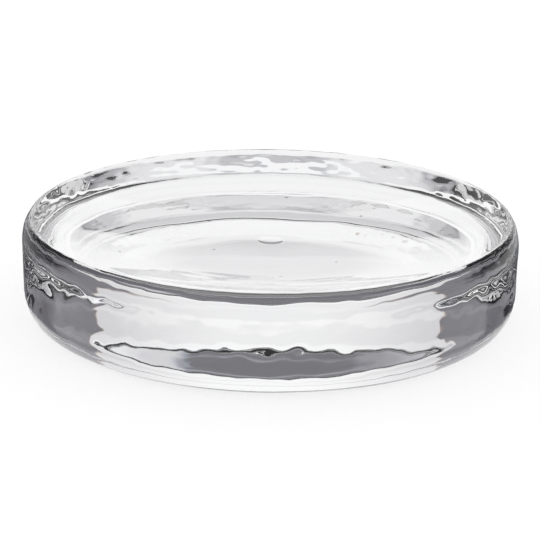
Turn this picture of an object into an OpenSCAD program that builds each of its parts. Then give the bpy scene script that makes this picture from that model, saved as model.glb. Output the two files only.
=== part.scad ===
// A heavy, shallow candle bowl of clear cast glass, made in one piece.
// The origin is at the middle of its foot, on the surface that it stands on, and +Z points up.
// The glass is one closed outline turned round the Z axis.

/* [Outside] */
// Widest diameter, at the top of the wall
bowl_d = 240; // [180:1:320]
// Height from the foot to the crest of the rim
bowl_h = 50; // [40:0.5:70]
// How far the wall leans in between its top and its bottom
wall_taper = 0.6; // [0.2:0.1:4]
// Width of the rounded shoulder, from the wall in to the crest of the rim
shoulder_w = 5.2; // [2:0.1:12]
// Height of the rounded shoulder, from the wall up to the crest of the rim
shoulder_h = 11.8; // [3:0.1:16]
// Width of the rounded heel, from the wall in to the foot
heel_w = 12.8; // [4:0.1:20]
// Height of the rounded heel, from the foot up to the wall
heel_h = 15.2; // [4:0.1:18]

/* [Hollow] */
// Depth of the hollow, from the crest of the rim down to its middle
hollow_depth = 13.4; // [6:0.1:20]
// Radius of the round that leads from the crest of the rim into the hollow
lip_r = 5; // [1:0.5:14]
// Diameter of the round dimple in the middle of the hollow
mark_d = 12.4; // [6:0.2:30]
// Depth of the dimple
mark_depth = 0.3; // [0.1:0.1:1.5]

/* [Underside] */
// Width of the flat ring that the bowl stands on
foot_w = 2.2; // [1:0.1:8]
// Height of the shallow dome inside the foot
dome_h = 5.2; // [0.5:0.1:8]

/* [Hidden] */

// Straight steps along each curved stretch of the outline, and round the bowl
round_steps = 16;
lip_steps = 6;
hollow_steps = 24;
mark_steps = 10;
dome_steps = 16;
turn_steps = 180;

crest_r = bowl_d / 2 - shoulder_w;
foot_r = bowl_d / 2 - wall_taper - heel_w;
dome_edge_r = foot_r - foot_w;
mark_r = mark_d / 2;
floor_z = bowl_h - hollow_depth;

// Radius of a sphere's cap with the given rim radius and height
function cap_radius(rim, height) = (rim * rim + height * height) / (2 * height);

// The hollow is a sphere that meets the lip's round without a corner
hollow_r = cap_radius(crest_r, hollow_depth) - lip_r;
lip_angle = atan(crest_r / (hollow_r + lip_r - hollow_depth));
dome_r = cap_radius(dome_edge_r, dome_h);

// Points on an ellipse's arc, after the arc's first point
function arc(centre, radii, start, end, steps) = [
    for (i = [1:steps])
        let (a = start + (end - start) * i / steps)
            [centre.x + radii.x * cos(a), centre.y + radii.y * sin(a)]
];

// Height of the hollow's surface at a distance from the axis, with the dimple pressed into it
function mark_dip(r) = r < mark_r ? mark_depth * (1 - pow(r / mark_r, 2)) : 0;
function hollow_z(r) = floor_z + hollow_r - sqrt(hollow_r * hollow_r - r * r) - mark_dip(r);

// Height of the underside's dome at a distance from the axis
function dome_z(r) = dome_h - dome_r + sqrt(dome_r * dome_r - r * r);

lip_end_r = hollow_r * sin(lip_angle);

underside = [for (i = [0:dome_steps]) let (r = dome_edge_r * i / dome_steps) [r, dome_z(r)]];
heel = concat([[foot_r, 0]], arc([foot_r, heel_h], [heel_w, heel_h], -90, 0, round_steps));
shoulder = concat(
    [[bowl_d / 2, bowl_h - shoulder_h]],
    arc([crest_r, bowl_h - shoulder_h], [shoulder_w, shoulder_h], 0, 90, round_steps)
);
lip = arc([crest_r, bowl_h - lip_r], [lip_r, lip_r], 90, 90 + lip_angle, lip_steps);
hollow = [
    for (i = [1:hollow_steps])
        let (r = lip_end_r + (mark_r - lip_end_r) * i / hollow_steps) [r, hollow_z(r)]
];
mark = [for (i = [1:mark_steps]) let (r = mark_r * (1 - i / mark_steps)) [r, hollow_z(r)]];

module glass_bowl() {
    color("lightcyan")
        rotate_extrude($fn = turn_steps)
            polygon(concat(underside, heel, shoulder, lip, hollow, mark));
}

glass_bowl();
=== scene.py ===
"""The looks of a heavy, shallow candle bowl of clear cast glass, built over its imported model."""

import math

import bmesh
import bpy
from mathutils import Matrix, Quaternion, Vector, noise


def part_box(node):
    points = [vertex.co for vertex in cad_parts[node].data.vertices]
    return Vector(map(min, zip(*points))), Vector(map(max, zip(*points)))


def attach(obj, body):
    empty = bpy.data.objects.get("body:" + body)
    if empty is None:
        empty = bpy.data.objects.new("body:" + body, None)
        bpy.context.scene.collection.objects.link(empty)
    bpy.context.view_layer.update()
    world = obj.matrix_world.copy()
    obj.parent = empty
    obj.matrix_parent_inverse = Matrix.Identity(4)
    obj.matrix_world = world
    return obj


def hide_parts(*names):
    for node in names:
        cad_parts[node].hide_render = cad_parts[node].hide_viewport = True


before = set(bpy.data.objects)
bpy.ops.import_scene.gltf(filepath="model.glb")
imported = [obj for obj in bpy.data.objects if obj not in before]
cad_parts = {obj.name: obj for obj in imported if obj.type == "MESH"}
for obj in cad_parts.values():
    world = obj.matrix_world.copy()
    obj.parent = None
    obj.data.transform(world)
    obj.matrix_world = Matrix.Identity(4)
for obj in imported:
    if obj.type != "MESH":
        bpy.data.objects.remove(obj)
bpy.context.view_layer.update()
BOWL_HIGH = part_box("glass_bowl")[1]
BOWL_RADIUS = BOWL_HIGH[0]
BOWL_HEIGHT = BOWL_HIGH[2]

bl_info = {
    "name": "Clear Cast Glass Candle Bowl",
    "version": (1, 0, 0),
    "blender": (4, 5, 0),
    "location": "3D View > Sidebar > Candle Bowl",
    "description": "Models a shallow candle bowl of rippled cast glass and the set it stands in",
    "category": "Object",
}


# ---------------------------------------------------------------- shader expressions


class Socket:
    """A shader node's output, wrapped so that shader maths reads as an expression.

    One without a link is the start of a node tree, and only makes nodes.
    """

    def __init__(self, tree, link=None):
        self.tree = tree
        self.link = link

    def node(self, kind, *values, out=0, **settings):
        """Adds a node with those settings and fills its inputs in order, except those given as None."""
        made = self.tree.nodes.new(kind)
        for name, value in settings.items():
            setattr(made, name, value)
        for place, value in zip(made.inputs, values):
            connect(self.tree, value, place)
        return Socket(self.tree, made.outputs[out] if made.outputs else None)

    def maths(self, operation, *values):
        return self.node("ShaderNodeMath", *values, operation=operation)

    def __add__(self, other):
        return self.maths("ADD", self, other)

    def __radd__(self, other):
        return self.maths("ADD", other, self)

    def __sub__(self, other):
        return self.maths("SUBTRACT", self, other)

    def __rsub__(self, other):
        return self.maths("SUBTRACT", other, self)

    def __mul__(self, other):
        return self.maths("MULTIPLY", self, other)

    def __rmul__(self, other):
        return self.maths("MULTIPLY", other, self)

    def __pow__(self, other):
        return self.maths("POWER", self, other)

    def rise(self, start, end):
        """0 below start, 1 above end, and a smooth step between them."""
        made = self.tree.nodes.new("ShaderNodeMapRange")
        made.interpolation_type = "SMOOTHSTEP"
        connect(self.tree, self, made.inputs["Value"])
        made.inputs["From Min"].default_value = start
        made.inputs["From Max"].default_value = end
        return Socket(self.tree, made.outputs[0])

    def blend(self, low, high):
        """low where this is 0 and high where it is 1."""
        return low + self * (high - low)


def connect(tree, value, place):
    """Links a wrapped socket to an input, or writes a plain value there."""
    if isinstance(value, Socket):
        tree.links.new(value.link, place)
    elif value is not None:
        place.default_value = value


def parts(vector):
    """The X, Y and Z of a wrapped vector."""
    split = vector.node("ShaderNodeSeparateXYZ", vector).link.node
    return [Socket(vector.tree, out) for out in split.outputs]


def length(x, y):
    """Length of the line from the middle to the point at x and y."""
    return x.maths("SQRT", x * x + y * y)


def scaled(pair, size):
    """The two ends of a soft edge that is given as shares of a size."""
    return [share * size for share in pair]


# ---------------------------------------------------------------- sizes


class GlassSizes(bpy.types.PropertyGroup):
    """Sizes of the bowl's outline, and of the waves that casting left in its surface."""

    wall_taper: bpy.props.FloatProperty(
        name="Wall taper",
        description="How far the wall leans in towards its foot",
        default=0.0006,
        unit="LENGTH",
    )
    shoulder_width: bpy.props.FloatProperty(
        name="Shoulder width",
        description="From the wall in to the crest of the rim",
        default=0.0052,
        unit="LENGTH",
    )
    shoulder_height: bpy.props.FloatProperty(
        name="Shoulder height",
        description="From the wall up to the crest of the rim",
        default=0.0118,
        unit="LENGTH",
    )
    heel_width: bpy.props.FloatProperty(
        name="Heel width",
        description="From the wall in to the foot",
        default=0.0128,
        unit="LENGTH",
    )
    heel_height: bpy.props.FloatProperty(
        name="Heel height",
        description="From the foot up to the wall",
        default=0.0152,
        unit="LENGTH",
    )
    hollow_depth: bpy.props.FloatProperty(
        name="Hollow depth",
        description="From the crest of the rim down to the middle",
        default=0.0134,
        unit="LENGTH",
    )
    lip_radius: bpy.props.FloatProperty(
        name="Lip radius",
        description="Round that leads from the crest into the hollow",
        default=0.005,
        unit="LENGTH",
    )
    mark_diameter: bpy.props.FloatProperty(
        name="Mark diameter",
        description="Round dimple in the middle of the hollow",
        default=0.0124,
        unit="LENGTH",
    )
    mark_depth: bpy.props.FloatProperty(
        name="Mark depth",
        description="How deep the dimple is",
        default=0.0003,
        unit="LENGTH",
    )
    foot_width: bpy.props.FloatProperty(
        name="Foot width",
        description="Flat ring that the bowl stands on",
        default=0.0022,
        unit="LENGTH",
    )
    dome_height: bpy.props.FloatProperty(
        name="Dome height",
        description="Shallow dome inside the foot",
        default=0.0052,
        unit="LENGTH",
    )
    swell_depth: bpy.props.FloatProperty(
        name="Swell depth",
        description="Depth of the broad swells on the wall",
        default=0.00016,
        unit="LENGTH",
    )
    swell_pitch: bpy.props.FloatProperty(
        name="Swell pitch",
        description="Width of one broad swell",
        default=0.028,
        unit="LENGTH",
    )
    ripple_depth: bpy.props.FloatProperty(
        name="Ripple depth",
        description="Depth of the chill ripples on the wall",
        default=0.00013,
        unit="LENGTH",
    )
    ripple_pitch: bpy.props.FloatProperty(
        name="Ripple pitch",
        description="Width of one chill ripple",
        default=0.012,
        unit="LENGTH",
    )
    drift_depth: bpy.props.FloatProperty(
        name="Drift depth",
        description="Depth of the long low waves in the hollow and the underside",
        default=0.0002,
        unit="LENGTH",
    )
    drift_pitch: bpy.props.FloatProperty(
        name="Drift pitch",
        description="Width of one long low wave",
        default=0.06,
        unit="LENGTH",
    )
    mound_height: bpy.props.FloatProperty(
        name="Mound height",
        description="Low mound round the dimple",
        default=0.0002,
        unit="LENGTH",
    )
    mound_diameter: bpy.props.FloatProperty(
        name="Mound diameter",
        description="Width of the low mound",
        default=0.044,
        unit="LENGTH",
    )
    ring_depth: bpy.props.FloatProperty(
        name="Ring depth",
        description="Depth of the faint rings inside the rim",
        default=0.00002,
        unit="LENGTH",
    )
    ring_pitch: bpy.props.FloatProperty(
        name="Ring pitch",
        description="From one faint ring to the next",
        default=0.009,
        unit="LENGTH",
    )
    crinkle_depth: bpy.props.FloatProperty(
        name="Crinkle depth",
        description="Depth of the finest crinkles in the skin",
        default=0.000004,
        unit="LENGTH",
    )
    crinkle_pitch: bpy.props.FloatProperty(
        name="Crinkle pitch",
        description="Width of one fine crinkle",
        default=0.005,
        unit="LENGTH",
    )
    seed_diameter: bpy.props.FloatProperty(
        name="Seed diameter",
        description="Width of a tiny dark seed in the hollow",
        default=0.0015,
        unit="LENGTH",
    )
    seed_spacing: bpy.props.FloatProperty(
        name="Seed spacing",
        description="About how far one seed is from the next",
        default=0.052,
        unit="LENGTH",
    )


class SetSizes(bpy.types.PropertyGroup):
    """Sizes of the studio set and the camera's place in it."""

    camera_elevation: bpy.props.FloatProperty(
        name="Camera elevation",
        description="Height of the view above level",
        default=math.radians(18.4966),
        unit="ROTATION",
    )
    camera_roll: bpy.props.FloatProperty(
        name="Camera roll",
        description="Turn of the camera about its own axis",
        default=math.radians(0.8123),
        unit="ROTATION",
    )
    camera_distance: bpy.props.FloatProperty(
        name="Camera distance",
        description="From the camera to the middle of the bowl",
        default=1.26,
        unit="LENGTH",
    )
    camera_lens: bpy.props.FloatProperty(
        name="Focal length",
        description="Focal length of the lens on a 36 mm wide sensor",
        default=172.8,
        unit="CAMERA",
    )
    aim_drop: bpy.props.FloatProperty(
        name="Aim drop",
        description="How far below the bowl's middle the camera aims",
        default=0.0033,
        unit="LENGTH",
    )
    pool_radius: bpy.props.FloatProperty(
        name="Pool radius",
        description="Radius of the brightly lit floor that shows through the glass",
        default=0.125,
        unit="LENGTH",
    )


# ---------------------------------------------------------------- the bowl's shape

# Straight steps along each curved stretch of the outline, and round the bowl
ROUND_STEPS = 20
LIP_STEPS = 8
WALL_STEPS = 24
HOLLOW_STEPS = 72
MARK_STEPS = 10
DOME_STEPS = 24
TURN_STEPS = 480

# The outline is spun through one wedge, and the wedge is then doubled until it closes
DOUBLINGS = 4
WEDGES = 2**DOUBLINGS
WELD_DISTANCE = 1e-6
MIDDLE = (0, 0, 0)
UP = (0, 0, 1)

# One wave of the noise is about this many of its units long
NOISE_PER_WAVE = 1.8

# Share of a wave's depth by which the skin has sunk where the wave is at its middle
MEAN_SINK = 0.5

# Height above the foot at which the wall's waves have their full depth
FOOT_EASE = 0.010
# Share of the dome's height at which the underside's waves have their full depth
DOME_EASE = 0.5

# Each set of waves is cut from the noise at a place of its own
RIPPLE_PLACE = Vector((0.1, 0.2, 0.3))
DOME_PLACE = Vector((0.4, 0.1, 0.2))
DRIFT_LAYER = 0.3

# The long waves in the hollow lie across the view
DRIFT_NARROWING = 1.6

# The hollow's rings waver as they go round, and grow between two shares of the bowl's radius
RING_WAVER = 6
RING_GROWTH = (0.35, 0.7)


def cap_radius(rim, height):
    """Radius of a sphere whose cap has that rim radius and height."""
    return (rim * rim + height * height) / (2 * height)


def arc(centre, radii, start, end, steps):
    """Points on an ellipse's arc, after its first point."""
    turns = [math.radians(start + (end - start) * i / steps) for i in range(1, steps + 1)]
    return [(centre[0] + radii[0] * math.cos(a), centre[1] + radii[1] * math.sin(a)) for a in turns]


def outline(sizes):
    """The bowl's half section, from the axis underneath round to the axis in the hollow."""
    crest_r = BOWL_RADIUS - sizes.shoulder_width
    wall_foot_r = BOWL_RADIUS - sizes.wall_taper
    foot_r = wall_foot_r - sizes.heel_width
    dome_edge_r = foot_r - sizes.foot_width
    mark_r = sizes.mark_diameter / 2
    floor_z = BOWL_HEIGHT - sizes.hollow_depth
    dome_r = cap_radius(dome_edge_r, sizes.dome_height)
    hollow_r = cap_radius(crest_r, sizes.hollow_depth) - sizes.lip_radius
    lip_angle = math.atan(crest_r / (hollow_r + sizes.lip_radius - sizes.hollow_depth))
    lip_end_r = hollow_r * math.sin(lip_angle)

    def dome_z(r):
        return sizes.dome_height - dome_r + math.sqrt(dome_r**2 - r**2)

    def hollow_z(r):
        dip = sizes.mark_depth * (1 - (r / mark_r) ** 2) if r < mark_r else 0
        return floor_z + hollow_r - math.sqrt(hollow_r**2 - r**2) - dip

    dome_radii = [dome_edge_r * i / DOME_STEPS for i in range(DOME_STEPS + 1)]
    points = [(r, dome_z(r)) for r in dome_radii]
    points += [(foot_r, 0.0)]
    heel_radii = (sizes.heel_width, sizes.heel_height)
    points += arc((foot_r, sizes.heel_height), heel_radii, -90, 0, ROUND_STEPS)
    wall_rise = BOWL_HEIGHT - sizes.shoulder_height - sizes.heel_height
    for i in range(1, WALL_STEPS + 1):
        r = wall_foot_r + sizes.wall_taper * i / WALL_STEPS
        points += [(r, sizes.heel_height + wall_rise * i / WALL_STEPS)]
    shoulder_radii = (sizes.shoulder_width, sizes.shoulder_height)
    points += arc((crest_r, BOWL_HEIGHT - sizes.shoulder_height), shoulder_radii, 0, 90, ROUND_STEPS)
    lip_radii = (sizes.lip_radius, sizes.lip_radius)
    lip_end = 90 + math.degrees(lip_angle)
    points += arc((crest_r, BOWL_HEIGHT - sizes.lip_radius), lip_radii, 90, lip_end, LIP_STEPS)
    for i in range(1, HOLLOW_STEPS + 1):
        r = lip_end_r + (mark_r - lip_end_r) * i / HOLLOW_STEPS
        points += [(r, hollow_z(r))]
    for i in range(1, MARK_STEPS + 1):
        r = mark_r * (1 - i / MARK_STEPS)
        points += [(r, hollow_z(r))]
    return points


def smooth_step(value, start, end):
    """0 below start, 1 above end, and a smooth step between them."""
    t = min(max((value - start) / (end - start), 0), 1)
    return t * t * (3 - 2 * t)


def waves(place, pitch):
    """Smooth waves of about that pitch, within -1 and 1."""
    return noise.noise(place * (NOISE_PER_WAVE / pitch))


def wall_shift(place, sizes):
    """The chilled outer skin sinks in by swells and ripples, which ease out at the foot."""
    swell = MEAN_SINK + waves(place, sizes.swell_pitch)
    ripple = MEAN_SINK + waves(place + RIPPLE_PLACE, sizes.ripple_pitch)
    ease = smooth_step(place.z, 0.0, FOOT_EASE)
    return -ease * (sizes.swell_depth * swell + sizes.ripple_depth * ripple)


def hollow_shift(place, sizes):
    """Long low waves in the hollow, a low mound in its middle, and faint rings where it nears the rim."""
    radius = place.xy.length
    drift = waves(Vector((place.x, DRIFT_NARROWING * place.y, DRIFT_LAYER)), sizes.drift_pitch)
    ring_turn = radius * NOISE_PER_WAVE / sizes.ring_pitch
    ring = noise.noise(Vector((ring_turn, RING_WAVER * place.x, RING_WAVER * place.y)))
    share = smooth_step(radius, *scaled(RING_GROWTH, BOWL_RADIUS))
    mound = 1 - smooth_step(radius, 0, sizes.mound_diameter / 2)
    return sizes.drift_depth * drift + sizes.mound_height * mound + share * sizes.ring_depth * ring


def dome_shift(place, sizes):
    """The underside's own long waves, which stay clear of what the foot stands on."""
    ease = smooth_step(place.z, 0.0, DOME_EASE * sizes.dome_height)
    return -ease * sizes.drift_depth * (MEAN_SINK + waves(place + DOME_PLACE, sizes.drift_pitch))


def skin_shift(vertex, sizes):
    """How far casting moved the skin out at a vertex, before the glass set."""
    radius = vertex.co.xy.length
    crest = BOWL_RADIUS - sizes.shoulder_width
    outer = smooth_step(radius, crest - sizes.lip_radius, crest)
    if vertex.normal.z < 0 and radius < crest - sizes.heel_width / 2:
        return dome_shift(vertex.co, sizes)
    inner = (1 - outer) * hollow_shift(vertex.co, sizes)
    return inner + outer * wall_shift(vertex.co, sizes)


def make_bowl(sizes):
    """Turns the outline round the axis and lays the casting's waves on its surface."""
    mesh = bmesh.new()
    corners = [mesh.verts.new((r, 0, z)) for r, z in outline(sizes)]
    edges = [mesh.edges.new(pair) for pair in zip(corners, corners[1:])]
    wedge = 2 * math.pi / WEDGES
    steps = TURN_STEPS // WEDGES
    bmesh.ops.spin(mesh, geom=corners + edges, cent=MIDDLE, axis=UP, angle=wedge, steps=steps)
    for _ in range(DOUBLINGS):
        copied = bmesh.ops.duplicate(mesh, geom=mesh.verts[:] + mesh.edges[:] + mesh.faces[:])
        fresh = [item for item in copied["geom"] if isinstance(item, bmesh.types.BMVert)]
        turn = Matrix.Rotation(wedge, 3, "Z")
        bmesh.ops.rotate(mesh, verts=fresh, cent=MIDDLE, matrix=turn)
        wedge *= 2
    bmesh.ops.remove_doubles(mesh, verts=mesh.verts, dist=WELD_DISTANCE)
    bmesh.ops.recalc_face_normals(mesh, faces=mesh.faces)
    mesh.normal_update()
    moves = [(v, v.normal * skin_shift(v, sizes)) for v in mesh.verts]
    for vertex, move in moves:
        vertex.co += move
    for face in mesh.faces:
        face.smooth = True
    data = bpy.data.meshes.new("cast_glass_bowl")
    mesh.to_mesh(data)
    mesh.free()
    bowl = bpy.data.objects.new("cast_glass_bowl", data)
    bpy.context.collection.objects.link(bowl)
    return bowl


# ---------------------------------------------------------------- the glass

# Refractive index and colour of the glass
GLASS_IOR = 1.53
GLASS_TINT = (0.985, 0.988, 0.992)

# How much of the tint a seed, or the painted shade on the dimple's front side, takes away
SEED_AND_SHADE_DARKNESS = 0.95

# Where the hollow's calmer skin turns into the wall's, as shares of the bowl's radius, and the share
# of the wall's crinkles that the calmer skin has
OUTER_SKIN = (0.88, 0.95)
CALM_CRINKLE = 0.15

# Seeds lie inside the first edge and above the second, as shares of the bowl's radius and height
HOLLOW_REACH = (0.80, 0.82)
HOLLOW_HEIGHT = (0.60, 0.62)

# The crinkles' noise keeps to the middle half of its range
CRINKLE_GAIN = 2

# A seed's soft edge, as shares of its radius
SEED_EDGE = (0.6, 1.4)

# Painted shade: a dark crescent on the dimple's front side, between its rim and a larger circle
# behind it, as shares of the dimple's radius
SHADE_CRESCENT_RIM = (0.93, 1.0)
SHADE_CRESCENT_CIRCLE_PLACE = 1.16
SHADE_CRESCENT_CIRCLE = (1.36, 1.5)


def clear_glass(sizes):
    """Clear cast glass with fine crinkles in its skin, a few dark seeds in the hollow, and painted shade
    in a crescent on the dimple's front side.
    """
    material = bpy.data.materials.new("clear_cast_glass")
    material.use_nodes = True
    tree = material.node_tree
    start = Socket(tree)
    place = start.node("ShaderNodeTexCoord", out="Object")
    x, y, z = parts(place)
    radius = length(x, y)

    outer = radius.rise(*scaled(OUTER_SKIN, BOWL_RADIUS))
    crinkle = start.node("ShaderNodeTexNoise", place, None, NOISE_PER_WAVE / sizes.crinkle_pitch, 1.0)
    height = outer.blend(CALM_CRINKLE, 1.0) * crinkle * (CRINKLE_GAIN * sizes.crinkle_depth)
    skin = start.node("ShaderNodeBump", 1.0, 1.0, None, height)

    # The cells measure distances in seed spacings
    cell = start.node("ShaderNodeTexVoronoi", place, None, 1 / sizes.seed_spacing, voronoi_dimensions="2D")
    seed_radius = 0.5 * sizes.seed_diameter / sizes.seed_spacing
    seed = 1 - cell.rise(*scaled(SEED_EDGE, seed_radius))
    mark_radius = 0.5 * sizes.mark_diameter
    # Painted shade: the dimple's front side is darkened in a crescent
    away = length(x, y - SHADE_CRESCENT_CIRCLE_PLACE * mark_radius)
    within = 1 - radius.rise(*scaled(SHADE_CRESCENT_RIM, mark_radius))
    painted_shade_crescent = within * away.rise(*scaled(SHADE_CRESCENT_CIRCLE, mark_radius))
    above = z.rise(*scaled(HOLLOW_HEIGHT, BOWL_HEIGHT))
    hollow = above * (1 - radius.rise(*scaled(HOLLOW_REACH, BOWL_RADIUS)))
    # Real seeds and the painted shade crescent both darken the glass's tint
    seeds_and_painted_shade = (1 - SEED_AND_SHADE_DARKNESS * hollow * seed) * (1 - SEED_AND_SHADE_DARKNESS * hollow * painted_shade_crescent)
    tint = start.node("ShaderNodeCombineColor", *(seeds_and_painted_shade * part for part in GLASS_TINT))

    shader = tree.nodes["Principled BSDF"]
    connect(tree, tint, shader.inputs["Base Color"])
    connect(tree, skin, shader.inputs["Normal"])
    shader.inputs["Roughness"].default_value = 0
    shader.inputs["IOR"].default_value = GLASS_IOR
    shader.inputs["Transmission Weight"].default_value = 1
    return material


class CANDLEBOWL_OT_glass(bpy.types.Operator):
    """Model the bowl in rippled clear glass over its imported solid"""

    bl_idname = "candlebowl.glass"
    bl_label = "Glass bowl"

    def execute(self, context):
        sizes = context.scene.candle_bowl_glass
        bowl = make_bowl(sizes)
        bowl.data.materials.append(clear_glass(sizes))
        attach(bowl, "root")
        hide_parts("glass_bowl")
        return {"FINISHED"}


# ---------------------------------------------------------------- the studio that the glass shows

# Each colour sees the studio turned by this many degrees and with a contrast of its own, which
# stands for the glass's colour fringes and its faint tint
COLOUR_SPREAD = (-0.07, 0.0, 0.07)
COLOUR_POWER = (0.985, 1.0, 0.94)

# Light fades between these two numbers of turns in the glass, and loses MOST_LOSS at the most. The
# world counts one turn more than a surface does.
MOST_LOSS = 0.85
STUDIO_TURNS = (5.0, 6.6)
FLOOR_TURNS = (3.5, 7.4)

# Below, a pair named EDGE says between which two angles one part of the studio gives way to the
# next, and a pair named LEVELS says how bright it is on either side, where 1 is white. Angles are in
# degrees: turn is counted from straight behind the bowl and climb from level.

# The walls' low part gives way to their high part
HIGH_EDGE = (26.5, 28.5)

# The backdrop, which is brightest in its middle. A faint haze across it dims it by HAZE_LOSS, and
# HAZE_FADE of the haze is gone above its second edge.
BACKDROP_EDGE = (4, 32)
BACKDROP_LEVELS = (0.99, 0.73)
HAZE_START_EDGE = (15.5, 18)
HAZE_END_EDGE = (22.5, 25)
HAZE_LOSS = 0.09
HAZE_FADE = 0.6

# The dark cards beside it
CARD_EDGE = (30.4, 31.6)
CARD_CLIMB_EDGE = (8, 20)
CARD_LEVELS = (0.27, 0.18)
CARD_BACK_EDGE = (56, 70)
CARD_BACK_GAIN = 0.12
CARD_CORNER_CLIMB_EDGE = (24, 27)
CARD_CORNER_TURN_EDGE = (38, 48)
CARD_CORNER_LEVEL = 0.06

# The grey gap above the backdrop, which is dark above the cards
GAP_EDGE = (12, 24)
GAP_LEVELS = (0.6, 0.2)
GAP_SIDE_EDGE = (42, 60)
GAP_SIDE_LEVEL = 0.05

# The room at the sides and behind the camera
ROOM_EDGE = (72, 78)
ROOM_LOW_EDGE = (84, 102)
ROOM_LOW_LEVELS = (0.5, 0.83)
ROOM_BAND_EDGE = (138, 156)
ROOM_BAND_CLIMB_EDGE = (10, 20)
ROOM_BAND_LEVELS = (0.4, 0.56)
ROOM_HIGH_EDGE = (96, 106)
ROOM_HIGH_LEVELS = (0.06, 1.0)

# The ceiling
CEILING_EDGE = (41, 44)
OVERHEAD_EDGE = (56, 70)
CEILING_LEVELS = (0.6, 0.82)

# The table, with its dark middle, its sides, where left and right differ, and the lit part close by
TABLE_EDGE = (-0.3, 0.6)
MIDDLE_CLIMB_EDGE = (-7, -0.5)
MIDDLE_LEVEL = 0.16
MIDDLE_FAR_EDGE = (4, 10)
MIDDLE_FAR_LEVELS = (0.4, 0.7)
SIDE_EDGE = (9.5, 13)
SIDE_CLIMB_EDGE = (-18, -11)
SIDE_LEVEL = 0.13
SIDE_FAR_EDGE = (14, 24)
SIDE_INNER_LEVELS = (0.3, 0.66)
SIDE_OUTER_LEVELS = (0.5, 0.86)
CLOSE_CLIMB_EDGE = (-27, -25.5)
CLOSE_EDGE = (7, 9)
CLOSE_LEVEL = 0.98
TABLE_BACK_EDGE = (56, 64)
TABLE_BACK_LEVEL = 0.85

# Left gives way to right between these two values of the direction's X
LEFT_RIGHT_EDGE = (-0.02, 0.02)


def through_glass(start):
    """1 for a ray that the glass has bent or mirrored, and 0 for the camera and for soft light."""
    paths = start.tree.nodes.new("ShaderNodeLightPath")
    return start.maths(
        "MAXIMUM",
        Socket(start.tree, paths.outputs["Is Transmission Ray"]),
        Socket(start.tree, paths.outputs["Is Glossy Ray"]),
    )


def glass_loss(start, least, most):
    """What thick glass leaves of light that has been turned that many times on its way through."""
    turns = start.node("ShaderNodeLightPath", out="Ray Depth")
    return 1 - MOST_LOSS * turns.rise(least, most)


def front_level(turn, climb):
    """A white backdrop that falls off to its sides, where dark cards stand, below a grey gap."""
    haze = climb.rise(*HAZE_START_EDGE) * (1 - HAZE_FADE * climb.rise(*HAZE_END_EDGE))
    backdrop = turn.rise(*BACKDROP_EDGE).blend(*BACKDROP_LEVELS) * (1 - HAZE_LOSS * haze)
    card = climb.rise(*CARD_CLIMB_EDGE).blend(*CARD_LEVELS)
    card = card + CARD_BACK_GAIN * turn.rise(*CARD_BACK_EDGE)
    corner = climb.rise(*CARD_CORNER_CLIMB_EDGE) * turn.rise(*CARD_CORNER_TURN_EDGE)
    card = corner.blend(card, CARD_CORNER_LEVEL)
    low = turn.rise(*CARD_EDGE).blend(backdrop, card)
    gap = turn.rise(*GAP_EDGE).blend(*GAP_LEVELS)
    gap = turn.rise(*GAP_SIDE_EDGE).blend(gap, GAP_SIDE_LEVEL)
    return climb.rise(*HIGH_EDGE).blend(low, gap)


def back_level(turn, climb):
    """The pale room at the sides and behind the camera, with a dim band straight behind it."""
    low = turn.rise(*ROOM_LOW_EDGE).blend(*ROOM_LOW_LEVELS)
    band = climb.rise(*ROOM_BAND_CLIMB_EDGE).blend(*ROOM_BAND_LEVELS)
    low = turn.rise(*ROOM_BAND_EDGE).blend(low, band)
    high = turn.rise(*ROOM_HIGH_EDGE).blend(*ROOM_HIGH_LEVELS)
    return climb.rise(*HIGH_EDGE).blend(low, high)


def table_level(turn, climb, right):
    """The table past the lit pool: dark in the middle and near the cards, and lit again close by."""
    middle_far = turn.rise(*MIDDLE_FAR_EDGE).blend(*MIDDLE_FAR_LEVELS)
    middle = climb.rise(*MIDDLE_CLIMB_EDGE).blend(MIDDLE_LEVEL, middle_far)
    inner = right.blend(*SIDE_INNER_LEVELS)
    outer = right.blend(*SIDE_OUTER_LEVELS)
    side_far = turn.rise(*SIDE_FAR_EDGE).blend(inner, outer)
    side = climb.rise(*SIDE_CLIMB_EDGE).blend(SIDE_LEVEL, side_far)
    front = turn.rise(*SIDE_EDGE).blend(middle, side)
    close = (1 - climb.rise(*CLOSE_CLIMB_EDGE)) * (1 - turn.rise(*CLOSE_EDGE))
    front = close.blend(front, CLOSE_LEVEL)
    return turn.rise(*TABLE_BACK_EDGE).blend(front, TABLE_BACK_LEVEL)


def studio_level(turn, climb, right):
    """How bright the studio is in each direction."""
    walls = turn.rise(*ROOM_EDGE).blend(front_level(turn, climb), back_level(turn, climb))
    ceiling = climb.rise(*OVERHEAD_EDGE).blend(*CEILING_LEVELS)
    upper = climb.rise(*CEILING_EDGE).blend(walls, ceiling)
    return climb.rise(*TABLE_EDGE).blend(table_level(turn, climb, right), upper)


def studio_world():
    """White for the camera and for soft light; in the glass it is a backdrop between dark cards."""
    world = bpy.data.worlds.new("studio")
    world.use_nodes = True
    tree = world.node_tree
    tree.nodes.clear()
    start = Socket(tree)
    # A world's first texture coordinate is the direction of the ray
    x, y, z = parts(start.node("ShaderNodeTexCoord"))
    degrees = 180 / math.pi
    turn = start.maths("ABSOLUTE", start.maths("ARCTAN2", x, y)) * degrees
    climb = start.maths("ARCSINE", z) * degrees
    right = x.rise(*LEFT_RIGHT_EDGE)
    through = through_glass(start)
    kept = glass_loss(start, *STUDIO_TURNS)
    channels = []
    for spread, power in zip(COLOUR_SPREAD, COLOUR_POWER):
        level = studio_level(turn + spread, climb + spread, right)
        channels.append(through.blend(1.0, kept * level**power))
    colour = start.node("ShaderNodeCombineColor", *channels)
    background = start.node("ShaderNodeBackground", colour, 1.0)
    start.node("ShaderNodeOutputWorld", background)
    return world


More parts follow.
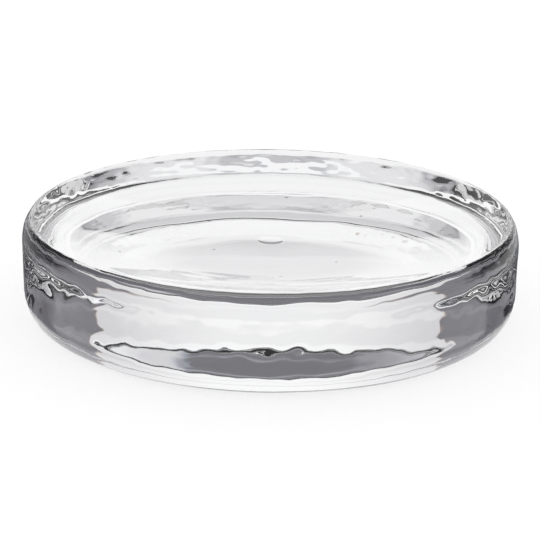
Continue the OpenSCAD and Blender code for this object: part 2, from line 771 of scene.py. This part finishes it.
# ---------------------------------------------------------------- the floor and the camera

FLOOR_RADIUS = 6.0
FLOOR_SEGMENTS = 96

# The floor is part paint, which takes the bowl's shadow, and part glow, which keeps it white
FLOOR_PAINT = 0.28
FLOOR_GLOW = 0.74

# The painted pool of light under the bowl, which is darker in its middle as painted shadow of the
# bowl, grows brighter between these two distances from its middle
POOL_RISE = (0.035, 0.078)
POOL_LEVELS = (0.76, 0.97)
# The pool's soft edge, as shares of its radius
POOL_EDGE = (1.0, 1.02)

# Width of the camera's sensor, in millimetres
SENSOR_WIDTH = 36


def floor_material(sizes):
    """A white floor that keeps the bowl's shadow; the glass sees only a painted pool of light round the
    bowl.
    """
    material = bpy.data.materials.new("pale_floor")
    material.use_nodes = True
    tree = material.node_tree
    tree.nodes.clear()
    start = Socket(tree)
    place = start.node("ShaderNodeTexCoord", out="Object")
    distance = start.node("ShaderNodeVectorMath", place, operation="LENGTH", out="Value")
    # Painted pool of light that only the glass sees, with painted shadow of the bowl in its middle
    painted_pool_level = distance.rise(*POOL_RISE).blend(*POOL_LEVELS)
    painted_pool_colour = start.node("ShaderNodeCombineColor", *(painted_pool_level**power for power in COLOUR_POWER))
    painted_pool_glow = start.node("ShaderNodeEmission", painted_pool_colour, glass_loss(start, *FLOOR_TURNS))
    clear = start.node("ShaderNodeBsdfTransparent", (1, 1, 1, 1))
    beyond = distance.rise(*scaled(POOL_EDGE, sizes.pool_radius))
    in_glass = start.node("ShaderNodeMixShader", beyond, painted_pool_glow, clear)
    lit = start.node("ShaderNodeBsdfDiffuse", (FLOOR_PAINT, FLOOR_PAINT, FLOOR_PAINT, 1))
    glow = start.node("ShaderNodeEmission", (1, 1, 1, 1), FLOOR_GLOW)
    white = start.node("ShaderNodeAddShader", lit, glow)
    mixed = start.node("ShaderNodeMixShader", through_glass(start), white, in_glass)
    start.node("ShaderNodeOutputMaterial", mixed)
    return material


def make_floor(sizes):
    """A round floor that reaches far past the view."""
    mesh = bmesh.new()
    bmesh.ops.create_circle(mesh, cap_ends=True, segments=FLOOR_SEGMENTS, radius=FLOOR_RADIUS)
    data = bpy.data.meshes.new("floor")
    mesh.to_mesh(data)
    mesh.free()
    floor = bpy.data.objects.new("floor", data)
    data.materials.append(floor_material(sizes))
    bpy.context.collection.objects.link(floor)


def make_camera(sizes):
    """The camera at the photograph's viewing angle."""
    data = bpy.data.cameras.new("camera")
    data.lens = sizes.camera_lens
    data.sensor_width = SENSOR_WIDTH
    camera = bpy.data.objects.new("camera", data)
    back = Vector((0, -math.cos(sizes.camera_elevation), math.sin(sizes.camera_elevation)))
    middle = Vector((0, 0, BOWL_HEIGHT / 2))
    camera.location = middle + back * sizes.camera_distance
    aim = middle - Vector((0, 0, sizes.aim_drop))
    camera.rotation_mode = "QUATERNION"
    look = (aim - camera.location).to_track_quat("-Z", "Y")
    camera.rotation_quaternion = look @ Quaternion((0, 0, 1), sizes.camera_roll)
    bpy.context.collection.objects.link(camera)
    bpy.context.scene.camera = camera


class CANDLEBOWL_OT_stage(bpy.types.Operator):
    """Set the floor, the studio light and the camera round the bowl"""

    bl_idname = "candlebowl.stage"
    bl_label = "Studio set"

    def execute(self, context):
        sizes = context.scene.candle_bowl_set
        make_floor(sizes)
        context.scene.world = studio_world()
        context.scene.view_settings.view_transform = "Standard"
        make_camera(sizes)
        return {"FINISHED"}


# ---------------------------------------------------------------- the add-on


class CANDLEBOWL_PT_panel(bpy.types.Panel):
    """Lists the bowl's sizes and what makes it"""

    bl_idname = "CANDLEBOWL_PT_panel"
    bl_label = "Candle Bowl"
    bl_space_type = "VIEW_3D"
    bl_region_type = "UI"
    bl_category = "Candle Bowl"

    def draw(self, context):
        for sizes, operator in (
            (context.scene.candle_bowl_glass, CANDLEBOWL_OT_glass),
            (context.scene.candle_bowl_set, CANDLEBOWL_OT_stage),
        ):
            box = self.layout.box()
            for name in sizes.__annotations__:
                box.prop(sizes, name)
            box.operator(operator.bl_idname)


CLASSES = (GlassSizes, SetSizes, CANDLEBOWL_OT_glass, CANDLEBOWL_OT_stage, CANDLEBOWL_PT_panel)


def register():
    for item in CLASSES:
        bpy.utils.register_class(item)
    bpy.types.Scene.candle_bowl_glass = bpy.props.PointerProperty(type=GlassSizes)
    bpy.types.Scene.candle_bowl_set = bpy.props.PointerProperty(type=SetSizes)


def unregister():
    del bpy.types.Scene.candle_bowl_set
    del bpy.types.Scene.candle_bowl_glass
    for item in reversed(CLASSES):
        bpy.utils.unregister_class(item)


def main():
    register()
    bpy.ops.candlebowl.glass()
    bpy.ops.candlebowl.stage()


if __name__ == "__main__":
    main()
